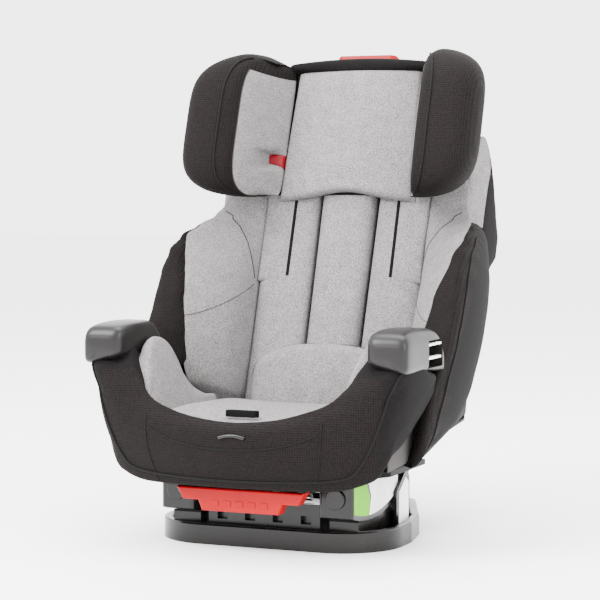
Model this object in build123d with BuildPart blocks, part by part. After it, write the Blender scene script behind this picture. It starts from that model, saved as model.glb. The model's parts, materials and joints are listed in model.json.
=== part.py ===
"""Convertible child car seat: a rocking seat on a fixed base, with a sliding winged headrest.

Frame: +X to the child's left, +Y to the back of the seat, +Z up, millimetres.
The origin lies on the floor, under the middle of the seat.
"""
import os
from math import cos, radians, sin

from build123d import *

# ---------------------------------------------------------------- driving dimensions
# the axis that the seat rocks about, and the surfaces that are concentric with it
RECLINE_Y, RECLINE_Z = -120, 321
ROCKER_R = 278
GLIDE_R = 278.5
GLIDE_THICK = 3
RACK_R = 259
LATCH_R = 250
LATCH_BAR_R = 5
LATCH_ANGLE = -5
RACK_HALF_WIDTH, NOTCH_HALF_WIDTH = 88, 70
NOTCH_COUNT, NOTCH_STEP = 3, 8
LATCH_HALF_WIDTH = 66

BACK_TILT = 18.3
BACK_FOOT_Y, BACK_FOOT_Z = 76, 150
BACK_LENGTH, BACK_WIDTH = 455, 392
BACK_THICK = 8
HARNESS_X, HARNESS_S, HARNESS_LENGTH = 84, 290, 130

BASE_HALF_WIDTH = 186
BASE_WAIST, BASE_TAIL = 172, 112
BASE_FRONT_ROUND, BASE_REAR_ROUND = 92, 30
BASE_FRONT, BASE_REAR = -183, 172
RIM_TOP, RIM_WALL = 30, 12
PAN_FLOOR = 4
STRIP_INSET = 4
BED_CENTRE, BED_LENGTH, BED_HEIGHT = (-58, 46), 208, 88
CRADLE_X, CRADLE_THICK = 152, 5

ROCKER_IN, ROCKER_OUT = 98, 150
ROCKER_FRONT, ROCKER_REAR = -195, 62
PAN_BOTTOM, PAN_TOP = 112, 120
PAN_WIDE, PAN_NARROW = 196, 152
HANGER_BOTTOM, HANGER_Y, HANGER_WIDTH = 74, -172, 18
CAP_Z, CAP_R = 80, 15

FRONT_ARC_Y, FRONT_ARC_R = 175, 467
FRONT_THICK = 28

PANEL_IN, PANEL_OUT = 196.2, 202.2
COVER_IN, WING_OUT, SHOULDER_OUT = 203.2, 238, 217
ARM_IN, ARM_OUT = 181, 250
SOCKET = [(-160, 266), (-96, 264), (-96, 304), (-160, 306)]
ANCHOR_YZ, ANCHOR_R = (112, 184), 4
ADJUSTER_Z = 176
LEVER_PIVOT_YZ, LEVER_WIDTH = (-268, 179), 36
CROTCH_Y = -238
LUMBAR_HALF_WIDTH, CUSHION_HALF_WIDTH = 118, 139
PAD_BOTTOM, PAD_TOP, FLAP_BOTTOM = 22, 452, 223

HANDLE_FRONT, HANDLE_DEPTH = -249, 22
HOLLOW_Z, HOLLOW_WIDTH, HOLLOW_HEIGHT, HOLLOW_DEPTH = 74, 74, 14, 14
ROD_X, ROD_Z, ROD_R = 45, 84, 4

HEAD_BACK, HEAD_FRONT = 29, 33
HEAD_LOW, HEAD_PAD_TOP, HEAD_HIGH = 357, 568, 586
HEAD_PAD_HALF_WIDTH = 106
WING_LOW, WING_HIGH = 500, 735
RAIL_X, RAIL_T, RAIL_R = 56, -15, 5
RAIL_BOTTOM, RAIL_TOP = 250, 445
STEM_GAP, STEM_LOW = 66, 300
HOOK_LOW, HOOK_HIGH, HOOK_HALF_WIDTH = 500, 512, 44
RELEASE_LOW, RELEASE_T, RELEASE_ROD_R = 590, -22, 2.4
LOCK_BAR_LOW, LOCK_BAR_HIGH = 326, 334
REAR_HALF_WIDTH = 196

BACK = Plane(
    origin=(0, BACK_FOOT_Y, BACK_FOOT_Z),
    x_dir=(1, 0, 0),
    z_dir=(0, -cos(radians(BACK_TILT)), sin(radians(BACK_TILT))),
)
UP_BACK = Vector(0, sin(radians(BACK_TILT)), cos(radians(BACK_TILT)))
SIDES = ((1, "left"), (-1, "right"))


def back_yz(s, t):
    """(y, z) of the point s up the backrest and t in front of it."""
    p = BACK.from_local_coords(Vector(0, s, t))
    return (p.Y, p.Z)


def back_level(s):
    """Plane square to the backrest at s: local x is X, local y is forward."""
    y, z = back_yz(s, 0)
    return Plane(origin=(0, y, z), x_dir=(1, 0, 0), z_dir=-UP_BACK)


def side_plane(x):
    """The YZ plane at x: local x is Y, local y is Z, normal +X."""
    return Plane(origin=(x, 0, 0), x_dir=(0, 1, 0), z_dir=(1, 0, 0))


def track(angle, radius):
    """(y, z) at an angle from straight down about the recline axis, positive to the rear."""
    a = radians(angle)
    return (RECLINE_Y + radius * sin(a), RECLINE_Z - radius * cos(a))


def save(part, name):
    """Labels a finished piece and writes it."""
    part.label = name
    export_step(part, f"parts/{name}.step")


def slab(points, x_low, x_high, mode=Mode.ADD):
    """Draws a YZ outline and extrudes it from x_low to x_high."""
    with BuildSketch(side_plane(x_low)) as outline:
        with BuildLine():
            Polyline(*points, close=True)
        make_face()
    extrude(outline.sketch, amount=x_high - x_low, mode=mode)


def back_block(points, s_low, s_high, mode=Mode.ADD):
    """Draws an (X, forward) outline and extrudes it up the backrest from s_low to s_high."""
    with BuildSketch(back_level(s_high)) as outline:
        with BuildLine():
            Polyline(*points, close=True)
        make_face()
    extrude(outline.sketch, amount=s_high - s_low, mode=mode)


def across(half_width, t_low, t_high):
    """A rectangle from side to side, between two distances in front of the backrest."""
    return [(-half_width, t_low), (half_width, t_low), (half_width, t_high), (-half_width, t_high)]


def mirrored(side, points):
    """The same (X, forward) outline on either side of the seat."""
    return [(side * x, t) for x, t in points]


def inside_front_arc(radius):
    """Cuts the current part back to the inside of the seat's curved front."""
    with BuildSketch(Plane.XY) as plan:
        with Locations((0, FRONT_ARC_Y)):
            Circle(radius)
    extrude(plan.sketch, amount=700, mode=Mode.INTERSECT)


def between_levels(z_low, z_high):
    """Cuts the current part back to what lies between two heights."""
    with BuildSketch(Plane.XY.offset(z_low)) as level:
        Rectangle(800, 800)
    extrude(level.sketch, amount=z_high - z_low, mode=Mode.INTERSECT)


def sorted_span(side, a, b):
    """A span of X on one side, lowest first."""
    return (min(side * a, side * b), max(side * a, side * b))


os.makedirs("parts", exist_ok=True)

# ================================================================ base
with BuildSketch() as base_plan:
    with BuildLine():
        Polyline(
            (-BASE_HALF_WIDTH, BASE_FRONT), (BASE_HALF_WIDTH, BASE_FRONT), (BASE_HALF_WIDTH, -50),
            (BASE_WAIST, 22), (BASE_TAIL, BASE_REAR), (-BASE_TAIL, BASE_REAR), (-BASE_WAIST, 22),
            (-BASE_HALF_WIDTH, -50),
            close=True,
        )
    make_face()
    fillet(base_plan.vertices().group_by(Axis.Y)[0], BASE_FRONT_ROUND)
    fillet(base_plan.vertices().group_by(Axis.Y)[-1], BASE_REAR_ROUND)

with BuildPart() as base_pan:
    add(base_plan.sketch)
    extrude(amount=RIM_TOP)
    with BuildSketch(Plane.XY.offset(PAN_FLOOR)):
        add(base_plan.sketch)
        offset(amount=-RIM_WALL, mode=Mode.REPLACE)
    extrude(amount=RIM_TOP, mode=Mode.SUBTRACT)
    chamfer(base_pan.faces().sort_by(Axis.Z)[-1].edges(), 2)
    # the two curved beds that carry the glide strips
    for side, _ in SIDES:
        low, high = sorted_span(side, ROCKER_IN + STRIP_INSET, ROCKER_OUT - STRIP_INSET)
        with BuildSketch(side_plane(low)):
            with Locations(BED_CENTRE):
                Rectangle(BED_LENGTH, BED_HEIGHT)
            with Locations((RECLINE_Y, RECLINE_Z)):
                Circle(GLIDE_R + GLIDE_THICK, mode=Mode.SUBTRACT)
        extrude(amount=high - low)
save(base_pan.part, "base_pan")

for side, hand in SIDES:
    with BuildPart() as cradle_wall:
        slab(
            [(-35, PAN_FLOOR), (-35, 70), (3, 98), (16, 92), (20, 86), (20, PAN_FLOOR)],
            *sorted_span(side, CRADLE_X, CRADLE_X + CRADLE_THICK),
        )
        fillet(cradle_wall.edges().filter_by(Axis.X).group_by(Axis.Z)[-1], 6)
    save(cradle_wall.part, f"cradle_wall_{hand}")

with BuildPart() as glide_strips:
    for side, _ in SIDES:
        low, high = sorted_span(side, ROCKER_IN + STRIP_INSET, ROCKER_OUT - STRIP_INSET)
        with BuildSketch(side_plane(low)):
            with Locations((RECLINE_Y, RECLINE_Z)):
                Circle(GLIDE_R + GLIDE_THICK)
                Circle(GLIDE_R, mode=Mode.SUBTRACT)
            with Locations(BED_CENTRE):
                Rectangle(BED_LENGTH, BED_HEIGHT, mode=Mode.INTERSECT)
        extrude(amount=high - low)
save(glide_strips.part, "glide_strips")

with BuildPart() as recline_rack:
    with BuildSketch(side_plane(-RACK_HALF_WIDTH)):
        with Locations((-130, 40)):
            Rectangle(68, 72)
        with Locations((RECLINE_Y, RECLINE_Z)):
            Circle(RACK_R, mode=Mode.SUBTRACT)
    extrude(amount=2 * RACK_HALF_WIDTH)
    # notches across the top, for the latch bar
    for notch in range(NOTCH_COUNT):
        with BuildSketch(side_plane(-NOTCH_HALF_WIDTH)):
            with Locations(track(LATCH_ANGLE - NOTCH_STEP * notch, RACK_R)):
                Circle(LATCH_BAR_R + 1)
        extrude(amount=2 * NOTCH_HALF_WIDTH, mode=Mode.SUBTRACT)
    # slots and ribs on the front face
    with BuildSketch(Plane.XZ.offset(164)):
        with GridLocations(44, 1, 4, 1):
            with Locations((0, 42)):
                Rectangle(16, 12)
    extrude(amount=-10, mode=Mode.SUBTRACT)
save(recline_rack.part, "recline_rack")

with BuildPart() as base_screws:
    for side, _ in SIDES:
        for x, y in ((60, -60), (60, 90)):
            with BuildSketch(Plane.XY.offset(PAN_FLOOR)):
                with Locations((side * x, y)):
                    Circle(6)
            extrude(amount=4)
save(base_screws.part, "base_screws")

# ================================================================ seat frame
with BuildPart() as seat_pan:
    # wide beside the rockers, narrower behind them and rounded off in front
    half_plan = [
        (PAN_NARROW, 59), (PAN_NARROW, -20), (PAN_WIDE, -20), (PAN_WIDE, -165), (165, -222), (130, -256),
    ]
    with BuildSketch(Plane.XY.offset(PAN_BOTTOM)):
        with BuildLine():
            Polyline(*half_plan, *[(-x, y) for x, y in reversed(half_plan)], close=True)
        make_face()
    extrude(amount=PAN_TOP - PAN_BOTTOM)
    inside_front_arc(FRONT_ARC_R - FRONT_THICK - 1)
    # hangers that carry the handle's guide rods
    for side, _ in SIDES:
        with BuildSketch(Plane.XZ.offset(-HANGER_Y)):
            with Locations((side * ROD_X, (PAN_BOTTOM + HANGER_BOTTOM) / 2)):
                Rectangle(HANGER_WIDTH, PAN_BOTTOM - HANGER_BOTTOM)
            with Locations((side * ROD_X, ROD_Z)):
                Circle(ROD_R + 0.4, mode=Mode.SUBTRACT)
        extrude(amount=-10)
save(seat_pan.part, "seat_pan")

for side, hand in SIDES:
    with BuildPart() as rocker:
        low, high = sorted_span(side, ROCKER_IN, ROCKER_OUT)
        with BuildSketch(side_plane(low)):
            with Locations((RECLINE_Y, RECLINE_Z)):
                Circle(ROCKER_R)
            mid_y = (ROCKER_FRONT + ROCKER_REAR) / 2
            with Locations((mid_y, PAN_BOTTOM - 40)):
                Rectangle(ROCKER_REAR - ROCKER_FRONT, 80, mode=Mode.INTERSECT)
        extrude(amount=high - low)
        fillet(rocker.edges().filter_by(Axis.Z), 6)
    save(rocker.part, f"rocker_{hand}")

with BuildPart() as rocker_caps:
    cap_x = (ROCKER_IN + ROCKER_OUT) / 2
    with BuildSketch(Plane.XZ.offset(-ROCKER_FRONT)):
        with Locations((cap_x, CAP_Z), (-cap_x, CAP_Z)):
            Circle(CAP_R)
    extrude(amount=4)
    fillet(rocker_caps.faces().group_by(Axis.Y)[0].edges(), 1.5)
save(rocker_caps.part, "rocker_caps")

with BuildPart() as back_shell:
    with BuildSketch(BACK):
        with Locations((0, BACK_LENGTH / 2)):
            RectangleRounded(BACK_WIDTH, BACK_LENGTH, 12)
        for side, _ in SIDES:
            with Locations((side * HARNESS_X, HARNESS_S)):
                SlotOverall(HARNESS_LENGTH, 12, rotation=90, mode=Mode.SUBTRACT)
    extrude(amount=-BACK_THICK)
save(back_shell.part, "back_shell")

REAR_OUTLINE = [
    back_yz(2, -BACK_THICK), (161, 158), (222, 370), (236, 374), (288, 418), (288, 440),
    (282, 498), (238, 560), back_yz(BACK_LENGTH, -BACK_THICK),
]
with BuildPart() as rear_cover:
    # a bent sheet behind the back shell, whose sides the side panels close
    slab(REAR_OUTLINE, -REAR_HALF_WIDTH, REAR_HALF_WIDTH)
    with BuildSketch(side_plane(-REAR_HALF_WIDTH)):
        with BuildLine():
            Polyline(*REAR_OUTLINE, close=True)
        make_face()
        offset(amount=-4, mode=Mode.REPLACE)
    extrude(amount=2 * REAR_HALF_WIDTH, mode=Mode.SUBTRACT)
    back_block(across(REAR_HALF_WIDTH, -16, -6), 8, BACK_LENGTH - 9, Mode.SUBTRACT)
    # open on top, where the headrest's stem and release rod go down inside
    back_block(across(STEM_GAP, -46, -6), 400, 480, Mode.SUBTRACT)
save(rear_cover.part, "rear_cover")

with BuildPart() as anchor_bar:
    with BuildSketch(side_plane(-PANEL_OUT)):
        with Locations(ANCHOR_YZ):
            Circle(ANCHOR_R)
    extrude(amount=2 * PANEL_OUT)
save(anchor_bar.part, "anchor_bar")

for side, hand in SIDES:
    with BuildPart() as side_panel:
        slab(
            [
                (-176, 124), (-226, 160), (-234, 250), (-100, 248), (-62, 214), (-20, 232), (36, 380),
                (98, 436), (150, 466), (172, 562), (200, 580), (232, 556), (275, 494), (281, 438), (281, 422),
                (232, 382), (206, 374), (148, 170), (-68, 120),
            ],
            *sorted_span(side, PANEL_IN, PANEL_OUT),
        )
        inside_front_arc(FRONT_ARC_R - FRONT_THICK - 1)
        with BuildSketch(side_plane(-210)):
            with Locations(ANCHOR_YZ):
                Circle(ANCHOR_R + 0.2)
        extrude(amount=420, mode=Mode.SUBTRACT)
    save(side_panel.part, f"side_panel_{hand}")

    with BuildPart() as armrest:
        low, high = sorted_span(side, ARM_IN, ARM_OUT)
        slab([(-245, 268), (-81, 256), (-107, 312), (-125, 325), (-198, 326), (-228, 306)], low, high)
        fillet(armrest.edges().filter_by(Axis.X).group_by(Axis.Z)[-1], 8)
        # the inner half is shallower, over the bolster
        shallow = [(-260, 240), (-70, 240), (-70, 286), (-260, 286)]
        slab(shallow, *sorted_span(side, 170, 207), Mode.SUBTRACT)
        # a socket in the outer face
        slab(SOCKET, *sorted_span(side, 212, 260), Mode.SUBTRACT)
    save(armrest.part, f"armrest_{hand}")

with BuildPart() as headrest_rails:
    for side, _ in SIDES:
        with BuildSketch(back_level(RAIL_TOP)):
            with Locations((side * RAIL_X, RAIL_T)):
                Circle(RAIL_R)
        extrude(amount=RAIL_TOP - RAIL_BOTTOM)
        # a foot at each end, fixed to the back shell
        for foot in (RAIL_BOTTOM, RAIL_TOP - 8):
            low, high = sorted_span(side, RAIL_X - 6, RAIL_X + 6)
            back_block([(low, -8.2), (high, -8.2), (high, -21), (low, -21)], foot, foot + 8)
save(headrest_rails.part, "headrest_rails")

with BuildPart() as armrest_bars:
    for side, _ in SIDES:
        for z in (278, 297):
            slab([(-158, z), (-98, z), (-98, z + 3), (-158, z + 3)], *sorted_span(side, 240, 247))
save(armrest_bars.part, "armrest_bars")

with BuildPart() as shell_screws:
    for x in (-150, -50, 50, 150):
        with BuildSketch(Plane.XY.offset(PAN_TOP)):
            with Locations((x, -100)):
                Circle(5)
        extrude(amount=3)
save(shell_screws.part, "shell_screws")

# ================================================================ seat padding
with BuildPart() as front_cover:
    with BuildSketch(Plane.XZ.offset(200)):
        with BuildLine():
            Polyline(
                (-241, 243), (-220, 184), (-201, 127), (-167, 97), (167, 97), (201, 127), (220, 184),
                (241, 243), (178, 232), (125, 204), (0, 188), (-125, 204), (-178, 232), close=True,
            )
        make_face()
    extrude(amount=100)
    inside_front_arc(FRONT_ARC_R)
    with BuildSketch(Plane.XY):
        with Locations((0, FRONT_ARC_Y)):
            Circle(FRONT_ARC_R - FRONT_THICK)
    extrude(amount=400, mode=Mode.SUBTRACT)
    # a pocket for the harness adjuster
    with BuildSketch(Plane.XZ.offset(250)):
        with Locations((0, ADJUSTER_Z)):
            Rectangle(46, 18)
    extrude(amount=60, mode=Mode.SUBTRACT)
save(front_cover.part, "front_cover")

with BuildPart() as adjuster_housing:
    with BuildSketch(Plane.XZ.offset(266)):
        with Locations((0, ADJUSTER_Z)):
            Rectangle(45, 17)
            Rectangle(40, 12, mode=Mode.SUBTRACT)
    extrude(amount=22)
save(adjuster_housing.part, "adjuster_housing")

with BuildPart() as adjuster_lever:
    with BuildSketch(Plane.XZ.offset(-LEVER_PIVOT_YZ[0])):
        with Locations((0, LEVER_PIVOT_YZ[1])):
            Rectangle(LEVER_WIDTH, 2.5)
    extrude(amount=18)
    # the barrel that it turns on
    with BuildSketch(side_plane(-LEVER_WIDTH / 2)):
        with Locations(LEVER_PIVOT_YZ):
            Circle(1.9)
    extrude(amount=LEVER_WIDTH)
save(adjuster_lever.part, "adjuster_lever")

with BuildPart() as seat_cushion:
    slab(
        [(-262, 124), (-262, 182), (-250, 200), (-200, 203), (20, 180), (44, 180), (44, 124)],
        -CUSHION_HALF_WIDTH, CUSHION_HALF_WIDTH,
    )
    inside_front_arc(FRONT_ARC_R - FRONT_THICK - 1)
    fillet(seat_cushion.edges().filter_by(Axis.Z), 12)
    with BuildSketch(Plane.XY.offset(100)):
        with Locations((0, CROTCH_Y)):
            SlotOverall(52, 14)
    extrude(amount=150, mode=Mode.SUBTRACT)
save(seat_cushion.part, "seat_cushion")

with BuildPart() as crotch_slot_trim:
    with BuildSketch(Plane.XY.offset(196)):
        with Locations((0, CROTCH_Y)):
            SlotOverall(51, 13)
            SlotOverall(46, 8, mode=Mode.SUBTRACT)
    extrude(amount=9)
save(crotch_slot_trim.part, "crotch_slot_trim")

with BuildPart() as back_pad:
    back_block(across(45, 1, 26), PAD_BOTTOM, PAD_TOP)
    fillet(back_pad.edges().filter_by(lambda e: abs(e.tangent_at(0).dot(UP_BACK)) > 0.99), 6)
save(back_pad.part, "back_pad")

with BuildPart() as lumbar_pad:
    with BuildSketch(BACK.offset(27)):
        with Locations((0, 53)):
            Rectangle(2 * LUMBAR_HALF_WIDTH, 46)
        with Locations((0, 76)):
            Ellipse(LUMBAR_HALF_WIDTH, 49)
    extrude(amount=27)
    fillet(lumbar_pad.faces().filter_by(BACK).sort_by(Axis.Y)[0].edges(), 4)
save(lumbar_pad.part, "lumbar_pad")

# the lower wing's side reaches forward of the armrest's rear and down to a toe below it
SIDE_COVER = [
    back_yz(300, 85), back_yz(275, 122), back_yz(200, 152), back_yz(120, 166), (-70, 250), (-96, 236),
    (-128, 196), (-136, 160), (-133, 128), (-17, 146), (60, 196), (112, 290), (140, 370), (128, 466),
]
SHOULDER_COVER = [
    (163, 477), (157, 520), (171, 562), (184, 580), (205, 588), (238, 562), (284, 498), (292, 440),
    (292, 418), (237, 375), (226, 371),
]
for side, hand in SIDES:
    with BuildPart() as back_side_pad:
        back_block(mirrored(side, [(46, 1), (138, 1), (138, 22), (128, 24), (46, 24)]), PAD_BOTTOM, PAD_TOP)
    save(back_side_pad.part, f"back_side_pad_{hand}")

    with BuildPart() as shoulder_flap:
        flap = [(92, 24.3), (128, 24.3), (137, 23), (137, 26), (128, 27), (92, 27)]
        back_block(mirrored(side, flap), FLAP_BOTTOM, PAD_TOP)
    save(shoulder_flap.part, f"shoulder_flap_{hand}")

    with BuildPart() as wing_pad:
        slab(
            [
                back_yz(24, 2), back_yz(24, 112), back_yz(100, 146), back_yz(190, 144),
                back_yz(276, 116), back_yz(332, 22), back_yz(332, 2),
            ],
            *sorted_span(side, 143, 195.5),
        )
        inner_slope = mirrored(side, [(140, 27), (146, 27), (192, 150), (140, 150)])
        back_block(inner_slope, -20, 360, Mode.SUBTRACT)
    save(wing_pad.part, f"wing_pad_{hand}")

    with BuildPart() as wing_cover:
        slab(SIDE_COVER, *sorted_span(side, COVER_IN, WING_OUT))
        fillet(wing_cover.faces().sort_by(Axis.X)[-1 if side > 0 else 0].edges(), 9)
    save(wing_cover.part, f"wing_cover_{hand}")

    with BuildPart() as shoulder_pad:
        profile = [(139, 2), (139, 24), (150, 26), (188, 37), (195.5, 37), (195.5, 2)]
        back_block(mirrored(side, profile), 336, PAD_TOP)
    save(shoulder_pad.part, f"shoulder_pad_{hand}")

    with BuildPart() as shoulder_cover:
        slab(SHOULDER_COVER, *sorted_span(side, COVER_IN, SHOULDER_OUT))
        fillet(shoulder_cover.faces().sort_by(Axis.X)[-1 if side > 0 else 0].edges(), 5)
    save(shoulder_cover.part, f"shoulder_cover_{hand}")

    with BuildPart() as bolster_pad:
        slab(
            [
                (-226, 124), (-240, 214), (-216, 262), (-190, 288), (-150, 299), (-112, 284),
                (-62, 214), (-20, 194), (-20, 124),
            ],
            *sorted_span(side, 140, 180),
        )
        inside_front_arc(FRONT_ARC_R - FRONT_THICK - 1)
    save(bolster_pad.part, f"bolster_pad_{hand}")

    with BuildPart() as bolster_cover:
        slab(
            [
                (-240, 128), (-250, 262), (-98, 251), (-116, 226), (-142, 206), (-162, 188),
                (-190, 150), (-205, 122), (-225, 116),
            ],
            *sorted_span(side, COVER_IN, 247),
        )
        inside_front_arc(FRONT_ARC_R - FRONT_THICK - 1)
    save(bolster_cover.part, f"bolster_cover_{hand}")

# ================================================================ recline handle
with BuildPart() as recline_handle:
    with BuildSketch(Plane.XZ.offset(-HANDLE_FRONT - HANDLE_DEPTH)):
        with BuildLine():
            Polyline(
                (-59, 61), (59, 61), (65, 76), (89, 76), (99, 94), (-99, 94), (-89, 76), (-65, 76),
                close=True,
            )
        make_face()
    extrude(amount=HANDLE_DEPTH)
    fillet(recline_handle.faces().sort_by(Axis.Y)[0].edges(), 3)
    # a finger hollow behind the grip
    with BuildSketch(Plane.XZ.offset(-HANDLE_FRONT - HANDLE_DEPTH)):
        with Locations((0, HOLLOW_Z)):
            Rectangle(HOLLOW_WIDTH, HOLLOW_HEIGHT)
    extrude(amount=HOLLOW_DEPTH, mode=Mode.SUBTRACT)
save(recline_handle.part, "recline_handle")

LATCH_YZ = track(LATCH_ANGLE, LATCH_R)
HANDLE_BACK = HANDLE_FRONT + HANDLE_DEPTH
with BuildPart() as latch_bar:
    with BuildSketch(side_plane(-LATCH_HALF_WIDTH)):
        with Locations(LATCH_YZ):
            Circle(LATCH_BAR_R)
    extrude(amount=2 * LATCH_HALF_WIDTH)
    # two lugs that the guide rods are fixed to
    for side, _ in SIDES:
        slab(
            [
                (LATCH_YZ[0] - 4, LATCH_YZ[1]), (LATCH_YZ[0] + 4, LATCH_YZ[1]),
                (LATCH_YZ[0] + 4, ROD_Z + ROD_R), (LATCH_YZ[0] - 4, ROD_Z + ROD_R),
            ],
            *sorted_span(side, ROD_X - 5, ROD_X + 5),
        )
save(latch_bar.part, "latch_bar")

with BuildPart() as handle_rods:
    for side, _ in SIDES:
        with BuildSketch(Plane.XZ.offset(-HANDLE_BACK)):
            with Locations((side * ROD_X, ROD_Z)):
                Circle(ROD_R)
        extrude(amount=-(LATCH_YZ[0] - 4 - HANDLE_BACK))
save(handle_rods.part, "handle_rods")

with BuildPart() as handle_springs:
    for side, _ in SIDES:
        with BuildLine() as coil:
            Helix(4.4, 50, 5.6, center=(side * ROD_X, -174, ROD_Z), direction=(0, -1, 0))
        with BuildSketch(Plane(origin=coil.line @ 0, z_dir=coil.line % 0)):
            Circle(0.7)
        sweep(path=coil.line, is_frenet=True)
save(handle_springs.part, "handle_springs")

# ================================================================ headrest
with BuildPart() as headrest_shell:
    # a winged plate, bent forward at each side
    wing = [
        (150, HEAD_BACK), (192, 48), (210, 96), (208, 124),
        (204.5, 124), (206, 97), (189, 51), (149, HEAD_FRONT),
    ]
    back_block(across(151, HEAD_BACK, HEAD_FRONT), 364, 578)
    for side, _ in SIDES:
        back_block(mirrored(side, wing), 400, 530)
    # a box behind the headrest, whose floor hooks the stem over the top of the back shell and
    # which is open above for the release handle
    back_block(across(HOOK_HALF_WIDTH, -18, 30), HOOK_LOW, 582)
    back_block(across(HOOK_HALF_WIDTH - 4, -14, 30), HOOK_HIGH, 590, Mode.SUBTRACT)
    back_block(across(HOOK_HALF_WIDTH, HEAD_BACK, HEAD_FRONT), HOOK_HIGH, 578)
save(headrest_shell.part, "headrest_shell")

with BuildPart() as headrest_carriage:
    back_block(across(47, -18, -12.5), STEM_LOW, HOOK_LOW)
    for side, _ in SIDES:
        low, high = sorted_span(side, 46, 65)
        back_block([(low, -24), (high, -24), (high, -8.6), (low, -8.6)], STEM_LOW, STEM_LOW + 40)
        with BuildSketch(back_level(STEM_LOW + 50)):
            with Locations((side * RAIL_X, RAIL_T)):
                Circle(RAIL_R + 0.35)
        extrude(amount=60, mode=Mode.SUBTRACT)
save(headrest_carriage.part, "headrest_carriage")

with BuildPart() as headrest_pad:
    half, front = HEAD_PAD_HALF_WIDTH, HEAD_FRONT + 1
    profile = [(-half, front), (half, front), (half, 44), (half - 8, 48), (8 - half, 48), (-half, 44)]
    back_block(profile, HEAD_LOW, HEAD_PAD_TOP)
save(headrest_pad.part, "headrest_pad")

with BuildPart() as headrest_top_band:
    back_block(across(HEAD_PAD_HALF_WIDTH, HEAD_FRONT + 1, 50), HEAD_PAD_TOP + 0.5, HEAD_HIGH)
save(headrest_top_band.part, "headrest_top_band")

for side, hand in SIDES:
    with BuildPart() as headrest_wing_pad:
        profile = [(109, 34), (149, 34), (186, 53), (202, 100), (203, 140), (200, 160), (152, 160), (132, 96)]
        back_block(mirrored(side, profile), 300, 620)
        between_levels(WING_LOW + 3, WING_HIGH - 4)
        # the notch where the belt guide sits
        low, high = sorted_span(side, 100, 141)
        back_block([(low, 30), (high, 30), (high, 92), (low, 92)], 350, 414, Mode.SUBTRACT)
    save(headrest_wing_pad.part, f"headrest_wing_pad_{hand}")

    with BuildPart() as headrest_wing_cover:
        profile = [
            (200, 50), (228, 92), (235, 140), (228, 166), (200, 178), (168, 174), (154, 164),
            (212, 164), (226, 140), (219, 97),
        ]
        back_block(mirrored(side, profile), 300, 620)
        between_levels(WING_LOW, WING_HIGH)
    save(headrest_wing_cover.part, f"headrest_wing_cover_{hand}")

    with BuildPart() as belt_guide:
        profile = [(109, 36), (139, 36), (139, 76), (109, 60)]
        back_block(mirrored(side, profile), 384, 412)
        slot = mirrored(side, [(105, 44), (134, 44), (134, 60), (105, 54)])
        back_block(slot, 390, 404, Mode.SUBTRACT)
    save(belt_guide.part, f"belt_guide_{hand}")

# ================================================================ headrest release
with BuildPart() as release_handle:
    back_block(across(50, -25, 22), RELEASE_LOW, RELEASE_LOW + 13)
    fillet(release_handle.edges().filter_by(lambda e: abs((e % 0).dot(UP_BACK)) > 0.99), 10)
save(release_handle.part, "release_handle")

with BuildPart() as release_rod:
    with BuildSketch(back_level(RELEASE_LOW)):
        with Locations((0, RELEASE_T)):
            Circle(RELEASE_ROD_R)
    extrude(amount=RELEASE_LOW - LOCK_BAR_HIGH)
    lock_bar = across(42, RELEASE_T - RELEASE_ROD_R, RELEASE_T + RELEASE_ROD_R)
    back_block(lock_bar, LOCK_BAR_LOW, LOCK_BAR_HIGH)
save(release_rod.part, "release_rod")
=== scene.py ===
"""Looks of the convertible car seat: sewn covers, moulded plastic, camera and light.

Metres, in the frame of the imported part. Lengths given in millimetres are turned by MM.
"""

import json
from math import cos, exp, pi, radians, sin

import bmesh
import bpy
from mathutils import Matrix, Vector
from mathutils.bvhtree import BVHTree


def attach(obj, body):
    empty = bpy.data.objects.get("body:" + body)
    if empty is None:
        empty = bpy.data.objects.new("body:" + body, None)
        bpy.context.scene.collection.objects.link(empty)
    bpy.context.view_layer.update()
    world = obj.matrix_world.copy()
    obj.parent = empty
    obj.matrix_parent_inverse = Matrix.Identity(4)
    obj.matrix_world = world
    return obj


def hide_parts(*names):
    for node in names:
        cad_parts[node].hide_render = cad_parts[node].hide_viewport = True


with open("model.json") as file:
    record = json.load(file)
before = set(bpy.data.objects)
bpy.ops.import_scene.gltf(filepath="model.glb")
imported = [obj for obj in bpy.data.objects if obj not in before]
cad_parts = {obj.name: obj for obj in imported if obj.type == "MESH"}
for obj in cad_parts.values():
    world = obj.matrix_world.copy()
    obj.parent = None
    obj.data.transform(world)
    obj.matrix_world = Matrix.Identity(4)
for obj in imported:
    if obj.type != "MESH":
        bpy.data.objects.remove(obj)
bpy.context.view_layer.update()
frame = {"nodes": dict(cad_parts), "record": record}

MM = 0.001
SIDES = ((1, "left"), (-1, "right"))

# the backrest's front plane, as in the part
BACK_TILT = radians(18.3)
BACK_FOOT = (0.076, 0.150)

# the axis that the seat rocks about, (y, z) in mm
RECLINE_YZ = (-120, 321)

# camera
CAMERA_AT = (1.2093, -2.8789, 0.528)
CAMERA_TARGET = (0, -0.030, 0.350)
CAMERA_LENS, SENSOR_WIDTH = 124.2, 36

# world brightness, the floor's size in m, and each light's name, place, size and power
WORLD_STRENGTH, FLOOR_SIZE = 4.4, 30
LIGHTS = (
    ("key", (-1.6, -2.2, 2.6), 1.6, 300),
    ("fill", (2.6, -1.6, 1.6), 1.6, 100),
    ("top", (0, 0.2, 3.0), 2.0, 150),
)

# straight pieces that a smooth curve has between two of its points
CURVE_STEPS = 12

# pads, in mm: heights are s up the backrest
PAD_BOTTOM, PAD_TOP = 22, 452
FLAP_BOTTOM, FLAP_INNER = 223, 91
PAD_SPLIT, PAD_OUTER = 47, 140
LUMBAR_HALF_WIDTH, LUMBAR_LOW, LUMBAR_HIGH = 122, 20, 121
CUSHION_HALF_WIDTH = 140


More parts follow.
